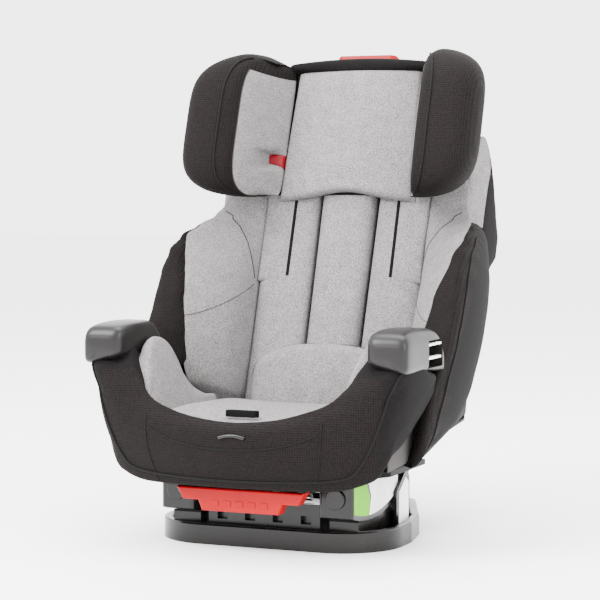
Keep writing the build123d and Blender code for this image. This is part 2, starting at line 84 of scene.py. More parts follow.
# ------------------------------------------------------------------ places
def on_back(x, s, t):
    """Point x across, s up the backrest and t in front of it, all in mm."""
    y = BACK_FOOT[0] + (s * sin(BACK_TILT) - t * cos(BACK_TILT)) * MM
    z = BACK_FOOT[1] + (s * cos(BACK_TILT) + t * sin(BACK_TILT)) * MM
    return Vector((x * MM, y, z))


def at_height(x, t, z):
    """Point x across and t in front of the backrest's plane, at height z, all in mm."""
    s = (z - BACK_FOOT[1] / MM - t * sin(BACK_TILT)) / cos(BACK_TILT)
    return on_back(x, s, t)


def mix(a, b, f):
    return a + (b - a) * f


def smoothstep(a, b, x):
    f = min(1, max(0, (x - a) / (b - a)))
    return f * f * (3 - 2 * f)


def along(keys, x):
    """Smooth value at x through (x, value) keys."""
    if x <= keys[0][0]:
        return keys[0][1]
    for (x0, v0), (x1, v1) in zip(keys, keys[1:]):
        if x <= x1:
            return mix(v0, v1, smoothstep(x0, x1, x) * 0.5 + 0.5 * (x - x0) / (x1 - x0))
    return keys[-1][1]


def catmull(p0, p1, p2, p3, f):
    """The point at f, from 0 to 1, on a smooth curve from p1 to p2."""
    return 0.5 * ((2 * p1) + (p2 - p0) * f + (2 * p0 - 5 * p1 + 4 * p2 - p3) * f * f
                  + (3 * p1 - p0 - 3 * p2 + p3) * f ** 3)


def spline_loop(points, count):
    """Resamples a closed outline to count points on a Catmull-Rom curve."""
    n = len(points)
    dense = []
    for i in range(n):
        p0, p1, p2, p3 = (Vector(points[(i + k) % n]) for k in (-1, 0, 1, 2))
        dense += [catmull(p0, p1, p2, p3, j / CURVE_STEPS) for j in range(CURVE_STEPS)]
    lengths = [0]
    for i, p in enumerate(dense):
        lengths.append(lengths[-1] + (dense[(i + 1) % len(dense)] - p).length)
    out = []
    k = 0
    for i in range(count):
        target = lengths[-1] * i / count
        while lengths[k + 1] < target:
            k += 1
        f = (target - lengths[k]) / max(1e-9, lengths[k + 1] - lengths[k])
        out.append(dense[k].lerp(dense[(k + 1) % len(dense)], f))
    return out


# ------------------------------------------------------------------ meshes
def new_mesh(name, verts, faces, looks=None):
    """A smooth mesh; looks gives the material slot of each face."""
    mesh = bpy.data.meshes.new(name)
    mesh.from_pydata([tuple(v) for v in verts], [], faces)
    for face, look in zip(mesh.polygons, looks or []):
        face.material_index = look
    bm = bmesh.new()
    bm.from_mesh(mesh)
    bmesh.ops.remove_doubles(bm, verts=bm.verts, dist=1e-5)
    bmesh.ops.recalc_face_normals(bm, faces=bm.faces)
    bm.to_mesh(mesh)
    bm.free()
    for p in mesh.polygons:
        p.use_smooth = True
    obj = bpy.data.objects.new(name, mesh)
    bpy.context.scene.collection.objects.link(obj)
    return obj


def loft(name, loops, look=lambda i, j: 0):
    """A closed skin over equal loops of points; look(i, j) is a face's material slot."""
    n = len(loops[0])
    verts = [p for loop in loops for p in loop]
    faces = []
    looks = []
    for i in range(len(loops) - 1):
        for j in range(n):
            k = (j + 1) % n
            faces.append((i * n + j, i * n + k, (i + 1) * n + k, (i + 1) * n + j))
            looks.append(look(i, j))
    for i in (0, len(loops) - 1):
        centre = sum((Vector(p) for p in loops[i]), Vector()) / n
        verts.append(centre)
        for j in range(n):
            faces.append((len(verts) - 1, i * n + j, i * n + (j + 1) % n))
            looks.append(look(min(i, len(loops) - 2), j))
    return new_mesh(name, verts, faces, looks)


def spline(points, count):
    """Resamples an open line to count points on a Catmull-Rom curve."""
    ends = [2 * Vector(points[0]) - Vector(points[1])], [2 * Vector(points[-1]) - Vector(points[-2])]
    line = ends[0] + [Vector(p) for p in points] + ends[1]
    dense = []
    for p0, p1, p2, p3 in zip(line, line[1:], line[2:], line[3:]):
        dense += [catmull(p0, p1, p2, p3, j / CURVE_STEPS) for j in range(CURVE_STEPS)]
    dense.append(line[-2])
    lengths = [0]
    for p, q in zip(dense, dense[1:]):
        lengths.append(lengths[-1] + (q - p).length)
    out = []
    k = 0
    for i in range(count):
        target = lengths[-1] * i / (count - 1)
        while k < len(dense) - 2 and lengths[k + 1] < target:
            k += 1
        f = (target - lengths[k]) / max(1e-9, lengths[k + 1] - lengths[k])
        out.append(dense[k].lerp(dense[k + 1], min(1, f)))
    return out


def pad(name, place, depth, back, nu=48, nv=72):
    """A crowned pad: place(u, v, t) puts a point of the grid, depth(u, v) is its front's t."""
    verts = []
    for t_of in (depth, lambda u, v: back):
        for j in range(nv + 1):
            for i in range(nu + 1):
                u = -1 + 2 * i / nu
                v = -1 + 2 * j / nv
                verts.append(place(u, v, t_of(u, v)))
    faces = []
    w = nu + 1
    size = w * (nv + 1)
    for layer in range(2):
        for j in range(nv):
            for i in range(nu):
                a = layer * size + j * w + i
                faces.append((a, a + 1, a + 1 + w, a + w))
    rim = [i for i in range(w)] + [j * w + nu for j in range(1, nv + 1)]
    rim += [nv * w + i for i in range(nu - 1, -1, -1)] + [j * w for j in range(nv - 1, 0, -1)]
    for a, b in zip(rim, rim[1:] + rim[:1]):
        faces.append((a, b, size + b, size + a))
    return new_mesh(name, verts, faces)


def edge(a, power):
    """1 in the middle of a span of -1..1 and rounding down to 0 at its ends."""
    return max(0.0, 1 - abs(a) ** power) ** 0.5


def apply_all(obj):
    """Applies every modifier of a piece to its mesh."""
    bpy.context.view_layer.update()
    done = bpy.data.meshes.new_from_object(obj.evaluated_get(bpy.context.evaluated_depsgraph_get()))
    obj.modifiers.clear()
    obj.data = done
    for p in obj.data.polygons:
        p.use_smooth = True


def puff(obj, cap=0.003, pressure=4.0, frames=10):
    """Foam pushing at a sewn cover: cloth blown up a little, no point moving more than cap."""
    rest = [v.co.copy() for v in obj.data.vertices]
    m = obj.modifiers.new("cloth", "CLOTH")
    m.settings.use_pressure = True
    m.settings.uniform_pressure_force = pressure
    m.settings.effector_weights.gravity = 0
    m.settings.quality = 3
    for f in range(1, frames + 1):
        bpy.context.scene.frame_set(f)
    apply_all(obj)
    bpy.context.scene.frame_set(1)
    for v, r in zip(obj.data.vertices, rest):
        step = v.co - r
        if step.length > cap:
            v.co = r + step.normalized() * cap


def tube(name, points, radius, material, body):
    """A thin piped or sewn line along points."""
    curve = bpy.data.curves.new(name, "CURVE")
    curve.dimensions = "3D"
    curve.bevel_depth = radius
    curve.bevel_resolution = 2
    line = curve.splines.new("POLY")
    line.points.add(len(points) - 1)
    for p, q in zip(line.points, points):
        p.co = (*q, 1)
    obj = bpy.data.objects.new(name, curve)
    bpy.context.scene.collection.objects.link(obj)
    curve.materials.append(material)
    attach(obj, body)
    return obj


# ------------------------------------------------------------------ materials
def shader(name, base, rough, **sockets):
    m = bpy.data.materials.new(name)
    m.use_nodes = True
    nt = m.node_tree
    b = nt.nodes["Principled BSDF"]
    b.inputs["Base Color"].default_value = (*base, 1)
    b.inputs["Roughness"].default_value = rough
    for key, value in sockets.items():
        b.inputs[key.replace("_", " ")].default_value = value
    coords = nt.nodes.new("ShaderNodeTexCoord")
    return m, nt, b, coords.outputs["Object"]


def noise(nt, coords, scale, detail=2.0, stretch=(1, 1, 1)):
    mapping = nt.nodes.new("ShaderNodeMapping")
    mapping.inputs["Scale"].default_value = stretch
    nt.links.new(coords, mapping.inputs["Vector"])
    n = nt.nodes.new("ShaderNodeTexNoise")
    n.inputs["Scale"].default_value = scale
    n.inputs["Detail"].default_value = detail
    nt.links.new(mapping.outputs["Vector"], n.inputs["Vector"])
    return n.outputs["Fac"]


def waves(nt, coords, scale, direction):
    w = nt.nodes.new("ShaderNodeTexWave")
    w.bands_direction = direction
    w.inputs["Scale"].default_value = scale
    w.inputs["Distortion"].default_value = 0.6
    nt.links.new(coords, w.inputs["Vector"])
    return w.outputs["Fac"]


def maths(nt, op, a, b):
    m = nt.nodes.new("ShaderNodeMath")
    m.operation = op
    for socket, value in zip(m.inputs, (a, b)):
        if isinstance(value, (int, float)):
            socket.default_value = value
        else:
            nt.links.new(value, socket)
    return m.outputs[0]


def ramp(nt, fac, stops):
    r = nt.nodes.new("ShaderNodeValToRGB")
    r.color_ramp.elements.remove(r.color_ramp.elements[1])
    r.color_ramp.elements[0].position = stops[0][0]
    r.color_ramp.elements[0].color = (*stops[0][1], 1)
    for at, colour in stops[1:]:
        e = r.color_ramp.elements.new(at)
        e.color = (*colour, 1)
    nt.links.new(fac, r.inputs["Fac"])
    return r.outputs["Color"]


def bump(nt, shader_node, height, strength, distance):
    b = nt.nodes.new("ShaderNodeBump")
    b.inputs["Strength"].default_value = strength
    b.inputs["Distance"].default_value = distance
    nt.links.new(height, b.inputs["Height"])
    nt.links.new(b.outputs["Normal"], shader_node.inputs["Normal"])


def heather_fabric():
    """Light grey melange knit: fine warm and cool flecks, short fibres both ways."""
    m, nt, b, xyz = shader("heather_knit", (0.24, 0.23, 0.23), 0.95, Specular_IOR_Level=0.15)
    fibres = maths(nt, "ADD", noise(nt, xyz, 620, 2, (1, 1, 2.6)), noise(nt, xyz, 620, 2, (2.6, 2.6, 1)))
    blotch = noise(nt, xyz, 60, 2)
    fac = maths(nt, "ADD", maths(nt, "MULTIPLY", fibres, 0.47), maths(nt, "MULTIPLY", blotch, 0.06))
    colour = ramp(nt, fac, [(0.42, (0.06, 0.056, 0.06)), (0.47, (0.112, 0.105, 0.107)),
                            (0.52, (0.160, 0.150, 0.150)), (0.57, (0.25, 0.238, 0.236))])
    nt.links.new(colour, b.inputs["Base Color"])
    bump(nt, b, fibres, 0.6, 0.0008)
    return m


def grid_fabric():
    """Charcoal spacer mesh: small square cells."""
    m, nt, b, xyz = shader("charcoal_mesh", (0.007, 0.006, 0.0058), 0.85, Specular_IOR_Level=0.08)
    cells = maths(nt, "MULTIPLY", waves(nt, xyz, 95, "X"), waves(nt, xyz, 95, "Z"))
    colour = ramp(nt, maths(nt, "ADD", cells, noise(nt, xyz, 300, 2)),
                  [(0.35, (0.0012, 0.001, 0.001)), (0.9, (0.0066, 0.0050, 0.0046))])
    nt.links.new(colour, b.inputs["Base Color"])
    bump(nt, b, cells, 0.6, 0.0008)
    return m


def knit_fabric():
    """Charcoal smooth knit."""
    m, nt, b, xyz = shader("charcoal_knit", (0.006, 0.005, 0.005), 0.85, Specular_IOR_Level=0.08)
    rows = maths(nt, "ADD", waves(nt, xyz, 210, "Z"), noise(nt, xyz, 500, 2))
    colour = ramp(nt, noise(nt, xyz, 350, 3),
                  [(0.3, (0.0018, 0.0015, 0.0015)), (0.7, (0.0042, 0.0036, 0.0036))])
    nt.links.new(colour, b.inputs["Base Color"])
    bump(nt, b, rows, 0.25, 0.0004)
    return m


def moulded(name, base, rough, grain=0.15, spec=0.4):
    """Satin moulded plastic: fine spark-eroded grain and faint handling marks."""
    m, nt, b, xyz = shader(name, base, rough, Specular_IOR_Level=spec)
    marks = noise(nt, xyz, 14, 3)
    lift = maths(nt, "MULTIPLY", marks, 0.14)
    nt.links.new(maths(nt, "ADD", lift, rough - 0.07), b.inputs["Roughness"])
    dark = tuple(c * 0.9 for c in base)
    light = tuple(min(1, c * 1.1) for c in base)
    nt.links.new(ramp(nt, marks, [(0.35, dark), (0.65, light)]), b.inputs["Base Color"])
    bump(nt, b, noise(nt, xyz, 900, 2), grain, 0.0003)
    return m


def plain_cloth(name, base, rough, spec, grain, distance):
    """One colour of cloth; grain is its noise's scale and detail."""
    m, nt, b, xyz = shader(name, base, rough, Specular_IOR_Level=spec)
    bump(nt, b, noise(nt, xyz, *grain), 0.4, distance)
    return m


def zinc():
    """Zinc-plated steel with a faint grain."""
    m, nt, b, xyz = shader("zinc_steel", (0.55, 0.56, 0.57), 0.32, Metallic=1.0)
    bump(nt, b, noise(nt, xyz, 200, 3, (1, 1, 8)), 0.1, 0.0002)
    return m


HEATHER = heather_fabric()
GRID = grid_fabric()
KNIT = knit_fabric()
BASE_BLACK = moulded("base_plastic", (0.003, 0.0024, 0.0022), 0.26, spec=0.24)
SHELL_BLACK = moulded("shell_plastic", (0.002, 0.0018, 0.0018), 0.46, spec=0.06)
CHARCOAL = moulded("armrest_plastic", (0.005, 0.0044, 0.0043), 0.34, spec=0.22)
CORAL = moulded("coral_plastic", (0.24, 0.0, 0.002), 0.38, 0.08, 0.12)
DEEP_RED = moulded("guide_red", (0.11, 0.0, 0.003), 0.36, 0.05, 0.15)
LIME = moulded("lime_label", (0.10, 0.38, 0.0), 0.55, 0.03, 0.1)
PAPER = moulded("paper_label", (0.80, 0.81, 0.82), 0.6, 0.03, 0.15)
# white trim bars of the armrest socket; part of their white is a painted highlight along the ribs' edges
TRIM_WHITE_AND_HIGHLIGHT = moulded("socket_trim_white_and_highlight", (0.85, 0.85, 0.85), 0.4, 0.05)
STEEL = zinc()
# the grey side cloth, darkened as painted shade inside the arch
SKIRT_IN_SHADE = plain_cloth("skirt_cloth_painted_shade", (0.05, 0.046, 0.045), 0.95, 0.1, (600, 2), 0.0004)
PIPING = plain_cloth("piping_cord", (0.0022, 0.0019, 0.0019), 0.8, 0.12, (700, 2), 0.0003)
# dark cloth for lines along seams and creases: painted shade in their valleys
SEAM_SHADE = plain_cloth("seam_shadow", (0.03, 0.028, 0.028), 0.95, 0.1, (900, 1), 0.0002)

CAD_LOOKS = {
    "base_plastic": BASE_BLACK, "shell_plastic": SHELL_BLACK, "armrest_plastic": CHARCOAL,
    "red_plastic": CORAL, "trim_white": TRIM_WHITE_AND_HIGHLIGHT, "steel": STEEL,
    "heather_fabric": HEATHER, "black_fabric": KNIT,
}
for part in frame["record"]["subparts"]:
    node = frame["nodes"][part["node"]]
    node.data.materials.clear()
    node.data.materials.append(CAD_LOOKS[part["material_slot"]])


def finish_soft(obj, body, nodes, material):
    """Puts a soft piece on its body, in place of its CAD solids."""
    if not obj.data.materials:
        obj.data.materials.append(material)
    puff(obj)
    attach(obj, body)
    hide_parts(*nodes)


def drape(obj, points, lift=0.0):
    """Moves points onto the nearest place of a piece's surface."""
    bm = bmesh.new()
    bm.from_mesh(obj.data)
    tree = BVHTree.FromBMesh(bm)
    out = []
    for p in points:
        where, normal, _, _ = tree.find_nearest(p)
        out.append(where + normal * lift)
    bm.free()
    return out


def steps(a, b, count):
    return [mix(a, b, i / (count - 1)) for i in range(count)]


# ------------------------------------------------------------------ headrest
WING_BOTTOM, WING_TOP = 500, 735
# across a headrest wing: its grey lining, then its black front and side, as (x, t)
WING_LINING = [(109, 36), (118, 58), (129, 92), (139, 126), (149, 153)]
WING_SHELL = [
    (149, 153), (158, 165), (173, 172), (196, 177), (217, 175), (231, 164), (238, 145), (237, 116),
    (229, 86), (213, 61), (190, 46), (160, 35), (128, 33), (109, 36),
]
LINING_STEPS, SHELL_STEPS = 46, 110


def wing_point(side, p, u):
    """A point of the wing's outline, drawn in towards its rounded top and bottom."""
    shrink = max(0.02, (1 - abs(u) ** 4.6) ** (1 / 2.5)) if abs(u) < 1 else 0.02
    x = mix(120, p.x, mix(1, shrink, smoothstep(108, 190, p.x)))
    x = mix(126, x, mix(1, shrink, 0.25))
    t = mix(52, p.y, mix(1, shrink, 0.8))
    top = WING_TOP - 24 * smoothstep(168, 112, x)
    z = mix(WING_BOTTOM + 5 * smoothstep(200, 110, x), top, (u + 1) / 2)
    # the lining is cut away where the belt guide shows
    notch = exp(-((z - 562) / 13) ** 4) * smoothstep(142, 132, x) * smoothstep(104, 114, x)
    return at_height(side * x, mix(t, 40, 0.9 * notch * smoothstep(100, 60, t - 40)), z)


def headrest_wing(side, hand):
    """Headrest wing: grey lining inside, black mesh in front and outside."""
    outline = spline([(x, t, 0) for x, t in WING_LINING], LINING_STEPS)[:-1]
    outline += spline([(x, t, 0) for x, t in WING_SHELL], SHELL_STEPS)[:-1]
    levels = 72
    loops = [[wing_point(side, p, -cos(pi * i / levels)) for p in outline] for i in range(levels + 1)]
    black_from = int(levels * 0.80)
    obj = loft(
        f"headrest_wing_{hand}", loops,
        lambda i, j: 0 if j < LINING_STEPS - 1 and i < black_from else 1,
    )
    obj.data.materials.append(HEATHER)
    obj.data.materials.append(GRID)
    nodes = [f"headrest_wing_pad_{hand}", f"headrest_wing_cover_{hand}"]
    finish_soft(obj, "headrest", nodes, GRID)
    front = Vector((173, 172, 0))
    line = [wing_point(side, front, u) for u in steps(-0.93, 0.95, 90)]
    tube(f"headrest_piping_{hand}", drape(obj, line, 0.0008), 0.0017, PIPING, "headrest")
    # a dark line along the lining's edge: painted shade in the crease
    lip = Vector((149, 153, 0))
    hem = [wing_point(side, lip, u) for u in steps(-0.93, -cos(pi * black_from / levels), 80)]
    tube(f"headrest_hem_shade_{hand}", drape(obj, hem, 0.0001), 0.0008, SEAM_SHADE, "headrest")


for side, hand in SIDES:
    headrest_wing(side, hand)


def headrest_pad():
    """The headrest's cushion and the black band over its top."""
    def place(u, v, t):
        low = 352 + 15 * exp(-(u / 0.55) ** 2)
        return on_back(u * (111 - 4 * v), mix(low, 571, (v + 1) / 2), t)

    def depth(u, v):
        crown = 8 * (1 - u * u) * (1 - 0.4 * v * v)
        tuck = 2.2 * exp(-((abs(u) - 0.985) / 0.02) ** 2)
        return 34 + 13 * edge(u, 12) * edge(v, 16) + crown - tuck

    obj = pad("headrest_cushion", place, depth, 34, 72, 72)
    finish_soft(obj, "headrest", ["headrest_pad"], HEATHER)

    def band_place(u, v, t):
        return on_back(u * 124, mix(568, 582 + 7 * cos(u * pi / 2), (v + 1) / 2), t)

    def band_depth(u, v):
        return 33 + 17 * edge(u, 14) * edge(v, 4)

    band = pad("headrest_band", band_place, band_depth, 8, 64, 16)
    finish_soft(band, "headrest", ["headrest_top_band"], KNIT)


headrest_pad()


def belt_guide(side, hand):
    """The red hook that the shoulder belt runs through."""
    def place(u, v, t):
        return on_back(side * mix(108, 146, (u + 1) / 2), mix(406 + 3 * u, 428, (v + 1) / 2), t)

    def depth(u, v):
        return 36 + 12 * edge(u, 4) * edge(v, 4) + 12 * (u + 1) / 2

    obj = pad(f"belt_guide_hook_{hand}", place, depth, 36, 20, 16)
    obj.data.materials.append(DEEP_RED)
    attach(obj, "headrest")
    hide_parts(f"belt_guide_{hand}")


for side, hand in SIDES:
    belt_guide(side, hand)


# ------------------------------------------------------------------ backrest padding
def back_panels():
    """Centre panel, side panels and shoulder flaps of the backrest."""
    def centre_place(u, v, t):
        return on_back(u * (46.6 + 2 * v), mix(60, PAD_TOP, (v + 1) / 2), t)

    def centre_depth(u, v):
        return 1 + 25 * edge(u, 8) * edge(v, 30) + 3 * (1 - u * u)

    centre = pad("back_centre", centre_place, centre_depth, 1, 32, 96)
    finish_soft(centre, "seat", ["back_pad"], HEATHER)
    for side, hand in SIDES:
        def place(u, v, t):
            inner = PAD_SPLIT + 2 * v
            s = mix(PAD_BOTTOM, PAD_TOP, (v + 1) / 2)
            return on_back(side * mix(inner, PAD_OUTER, (u + 1) / 2), s, t)

        def depth(u, v):
            return 1 + 22 * edge(u, 9) * edge(v, 30) + 2 * (1 - u * u)

        obj = pad(f"back_side_{hand}", place, depth, 1, 40, 96)
        finish_soft(obj, "seat", [f"back_side_pad_{hand}"], HEATHER)

        def flap_place(u, v, t):
            s = mix(FLAP_BOTTOM, PAD_TOP, (v + 1) / 2)
            return on_back(side * mix(FLAP_INNER, 138, (u + 1) / 2), s, t)

        def flap_depth(u, v):
            return 25.2 + 2.6 * edge(u, 12) * edge(v, 40)

        flap = pad(f"shoulder_flap_{hand}_cover", flap_place, flap_depth, 23, 24, 72)
        finish_soft(flap, "seat", [f"shoulder_flap_{hand}"], HEATHER)
        slot_line = [on_back(side * 87, s, 25.4) for s in steps(232, PAD_TOP, 40)]
        tube(f"harness_slot_{hand}", slot_line, 0.0038, KNIT, "seat")


back_panels()


def lumbar():
    """The half-round pad at the foot of the backrest."""
    def place(u, v, t):
        rise = max(0, v)
        if v > 0:
            width = LUMBAR_HALF_WIDTH * max(0.0, 1 - rise ** 2.6) ** 0.5
        else:
            width = LUMBAR_HALF_WIDTH + 2 * v
        return on_back(u * max(width, 1.5), mix(LUMBAR_LOW, LUMBAR_HIGH, (v + 1) / 2), t)

    def depth(u, v):
        return 27 + 20 * edge(u, 8) * edge(max(v, 0), 8) + 9 * (1 - u * u) * (1 - 0.5 * v * v)

    obj = pad("lumbar_cushion", place, depth, 26, 72, 64)
    finish_soft(obj, "seat", ["lumbar_pad"], HEATHER)
    # a dark line round the pad's rim: painted shade in the seam's valley
    half = [
        (LUMBAR_HALF_WIDTH * (1 - v ** 2.6) ** 0.5 + 1, mix(LUMBAR_LOW, LUMBAR_HIGH + 0.5, (v + 1) / 2))
        for v in steps(0, 1, 60)
    ]
    rim = half + [(-x, s) for x, s in reversed(half)]
    seam = [on_back(x, s, 26 + 3.5 * smoothstep(60, 40, abs(x))) for x, s in rim]
    tube("lumbar_seam_shade", seam, 0.0022, SEAM_SHADE, "seat")


lumbar()


# ------------------------------------------------------------------ seat padding
def seat_cushion():
    """The grey seat: its front edge bows forward and dips in the middle."""
    def place(u, v, z):
        front = -264 + 30 * u * u
        return Vector((u * CUSHION_HALF_WIDTH * MM, mix(front, 46, (v + 1) / 2) * MM, z * MM))

    def top(u, v):
        crown = mix(186 + 19 * u * u, 182, (v + 1) / 2) + 12 * (1 - v * v)
        ruck = 1.2 * sin(9 * u + 4 * v) * (1 - v * v) * smoothstep(0.3, 1, abs(u))
        return 126 + (crown - 126 + ruck) * edge(u, 14) * edge(v, 26)

    obj = pad("seat_cushion_cover", place, top, 124, 72, 90)
    finish_soft(obj, "seat", ["seat_cushion"], HEATHER)


seat_cushion()


# (y, crest z, x of the crest) along the grey bolsters beside the seat
BOLSTER = [
    (-240, 212, 150), (-230, 236, 156), (-212, 272, 164), (-188, 297, 170), (-160, 299, 172),
    (-136, 292, 172), (-114, 272, 170), (-98, 246, 166), (-78, 224, 160), (-50, 208, 154),
    (-20, 197, 150),
]


def bolster(side, hand):
    """The grey bolster between the seat cushion and the armrest."""
    rows = spline(BOLSTER, 90)
    loops = []
    for i, row in enumerate(rows):
        y, crest, x = row
        close = max(0.05, edge(2 * i / 89 - 1, 30))
        ring = [
            (181, 126), (139, 126), (136, 180), (mix(137, x, 0.18), 204),
            (mix(138, x, 0.55), mix(200, crest, 0.55)),
            (x - 7, crest - 9), (x, crest), (178, crest - 4), (181, crest - 26),
        ]
        centre = Vector((160, mix(126, crest, 0.5), 0))
        loop = [centre.lerp(p, close) for p in spline_loop([(a, b, 0) for a, b in ring], 72)]
        loops.append([Vector((side * p.x, y, p.y)) * MM for p in loop])
    obj = loft(f"bolster_inner_{hand}", loops)
    finish_soft(obj, "seat", [f"bolster_pad_{hand}"], HEATHER)


for side, hand in SIDES:
    bolster(side, hand)


# ---- the black cover that wraps the seat's front, from armrest to armrest
# stations from the middle round to the rear of the bolster, each with its outer face at the
# top, then the foot of that face, the lip where black meets grey and the tuck inside it, in mm
WRAP = [
    # outer top        outer foot       black-grey lip    tuck inside
    ((0, -290, 180), (0, -272, 98), (0, -266, 191), (0, -254, 150)),
    ((60, -286, 182), (56, -268, 98), (62, -265, 196), (60, -250, 150)),
    ((112, -276, 190), (108, -260, 98), (106, -262, 206), (104, -244, 150)),
    ((158, -264, 205), (152, -250, 100), (134, -250, 217), (130, -232, 150)),
    ((198, -257, 238), (186, -240, 109), (156, -240, 237), (146, -218, 150)),
    ((228, -248, 262), (204, -228, 120), (171, -227, 262), (162, -204, 160)),
    ((243, -224, 271), (210, -206, 142), (184, -205, 282), (174, -186, 180)),
    ((248, -180, 268), (217, -178, 158), (192, -160, 272), (186, -156, 200)),
    ((246, -136, 258), (223, -140, 184), (200, -130, 262), (200, -134, 200)),
    ((242, -100, 252), (233, -106, 214), (212, -100, 254), (212, -108, 222)),
]
WRAP_STATIONS = 150


def wrap_line(column, a):
    """Smooth line through one column of the stations; a runs 0..1 from the middle to the rear."""
    points = [Vector(row[column]) for row in WRAP]
    mirror = Vector((-points[1].x, points[1].y, points[1].z))
    line = [mirror] + points + [2 * points[-1] - points[-2]]
    place = min(a, 0.99999) * (len(points) - 1)
    i = int(place)
    f = place - i
    return catmull(*line[i:i + 4], f)


def wrap_face(w, b):
    """A point on the outer face: w from -1 to 1 across, b from foot to top."""
    side, a = (1 if w >= 0 else -1), abs(w)
    top, foot = wrap_line(0, a), wrap_line(1, a)
    p = foot.lerp(top, b)
    out = Vector((top.x, top.y + 60, 0)).normalized()
    p += out * 9 * sin(pi * b) * (1 - 0.4 * a)
    return Vector((side * p.x, p.y, p.z)) * MM


def wrap_section(w):
    """One closed loop: up the face, over to the lip, down inside and back under to the foot."""
    side, a = (1 if w >= 0 else -1), abs(w)
    close = max(0.05, edge(a, 60))
    face = [wrap_face(w, b) / MM for b in (0.0, 0.25, 0.5, 0.75, 1.0)]
    lip, tuck = wrap_line(2, a), wrap_line(3, a)
    foot = wrap_line(1, a)
    under = foot.lerp(tuck, 0.25) + Vector((0, 0, 2))
    crest = Vector((face[-1].x * side, face[-1].y, face[-1].z)).lerp(lip, 0.5) + Vector((0, 0, 5))
    ring = face + [Vector((side * p.x, p.y, p.z)) for p in (crest, lip, tuck, under)]
    centre = sum(ring, Vector()) / len(ring)
    return [centre.lerp(p, close) * MM for p in spline_loop(ring, 84)]


def front_wrap():
    """The black cover round the seat's front, with its piping and seams."""
    loops = [wrap_section(w) for w in steps(-1, 1, WRAP_STATIONS + 1)]

    def look(i, j):
        w = abs(-1 + 2 * (i + 0.5) / WRAP_STATIONS)
        return 1 if w > 0.50 else 0

    obj = loft("front_wrap", loops, look)
    obj.data.materials.append(GRID)
    obj.data.materials.append(KNIT)
    nodes = ["front_cover", "bolster_cover_left", "bolster_cover_right"]
    finish_soft(obj, "seat", nodes, GRID)

    def sewn(name, line, radius, lift, material=PIPING):
        tube(name, drape(obj, line, lift), radius, material, "seat")

    # piping round the front, low in the middle and climbing to each armrest
    low = [wrap_face(w, 0.17 + 0.80 * smoothstep(0.36, 0.62, abs(w))) for w in steps(-0.62, 0.62, 220)]
    sewn("front_piping", low, 0.0016, 0.0009)
    for side, hand in SIDES:
        seam = [wrap_face(side * mix(0.245, 0.275, b), b) for b in steps(0.04, 1.0, 50)]
        sewn(f"front_seam_{hand}", seam, 0.0011, 0.0002)
    yoke = [wrap_face(w, 0.70 + 0.16 * (w / 0.26) ** 2) for w in steps(-0.26, 0.26, 70)]
    sewn("front_yoke_seam", yoke, 0.0011, 0.0002)
    slit = [wrap_face(w, 0.90 + 0.04 * sin(pi * (w + 0.02) / 0.07)) for w in steps(-0.02, 0.05, 20)]
    sewn("adjuster_slit", slit, 0.0028, 0.0004, BASE_BLACK)


front_wrap()


# ---- the lower wings: a grey lining that runs up to the shoulder, and a black side
# (s, x, t) down the line where grey meets black
FOLD = [
    (26, 190, 112), (60, 192, 136), (105, 196, 147), (165, 206, 147), (235, 221, 130), (272, 230, 112),
    (300, 225, 80), (322, 214, 54), (345, 205, 42), (400, 202, 39), (452, 201, 38),
]
# (s, x, t) of the black side's outermost front
BROW = [
    (-92, 226, 192), (-60, 236, 204), (-21, 241, 208), (28, 244, 200), (100, 245, 176), (150, 245, 165),
    (200, 244, 156), (240, 241, 143), (272, 236, 116), (300, 230, 78), (322, 222, 40), (338, 214, 10),
]
# (s, t) of the black side's rear edge
SIDE_REAR = [(-92, 176), (-64, 140), (-30, 84), (10, 30), (70, -6), (160, -40), (240, -52), (338, -50)]


def at_level(keys, s):
    """The x and t at level s of a line of (s, x, t) keys."""
    return along([(k[0], k[1]) for k in keys], s), along([(k[0], k[2]) for k in keys], s)


def lining(side, hand):
    """Grey lining: from the back pad out to the fold, wing and shoulder in one."""
    levels = 110
    loops = []
    for i in range(levels + 1):
        v = i / levels
        s = mix(26, PAD_TOP, v)
        fold_x, fold_t = at_level(FOLD, s)
        close = max(0.04, edge(2 * v - 1, 60))
        foot_x = 141 - 4 * smoothstep(230, 300, s) * smoothstep(452, 340, s)
        swell = 4 + 12 * smoothstep(335, 255, s)
        front = [(foot_x, 22, 0)]
        for f in (0.12, 0.3, 0.5, 0.7, 0.9):
            bulge = swell * sin(pi * f ** 0.8)
            front.append((mix(foot_x + 3, fold_x, f) - bulge * 0.9, mix(24, fold_t, f) + bulge * 0.35, 0))
        front.append((fold_x, fold_t, 0))
        rear = [(fold_x, fold_t, 0), (fold_x + 1.5, fold_t - 6, 0), (mix(204, fold_x, 0.5), fold_t * 0.4, 0),
                (203, -2, 0), (170, -2, 0), (foot_x, 0, 0), (foot_x, 22, 0)]
        outline = spline(front, 56)[:-1] + spline(rear, 40)[:-1]
        middle = Vector((175, 20, 0))
        loops.append([
            on_back(side * mix(middle.x, p.x, close), s, mix(middle.y, p.y, close)) for p in outline
        ])
    obj = loft(f"wing_lining_{hand}", loops)
    finish_soft(obj, "seat", [f"wing_pad_{hand}", f"shoulder_pad_{hand}"], HEATHER)
    # dark lines along the slant and shoulder seams: painted shade in the seam valleys
    slant = [
        on_back(side * mix(202, 142, f), mix(132, 216, f ** 1.4), mix(146, 30, f))
        for f in steps(0.02, 1, 60)
    ]
    tube(f"wing_slant_seam_shade_{hand}", drape(obj, slant, 0.0001), 0.0006, SEAM_SHADE, "seat")
    curve = [(338, 196, 60), (322, 178, 56), (300, 164, 52), (270, 154, 45), (245, 147, 38), (226, 142, 30)]
    shoulder = spline([on_back(side * x, s, t) for s, x, t in curve], 60)
    tube(f"wing_curve_seam_shade_{hand}", drape(obj, shoulder, 0.0001), 0.0009, SEAM_SHADE, "seat")


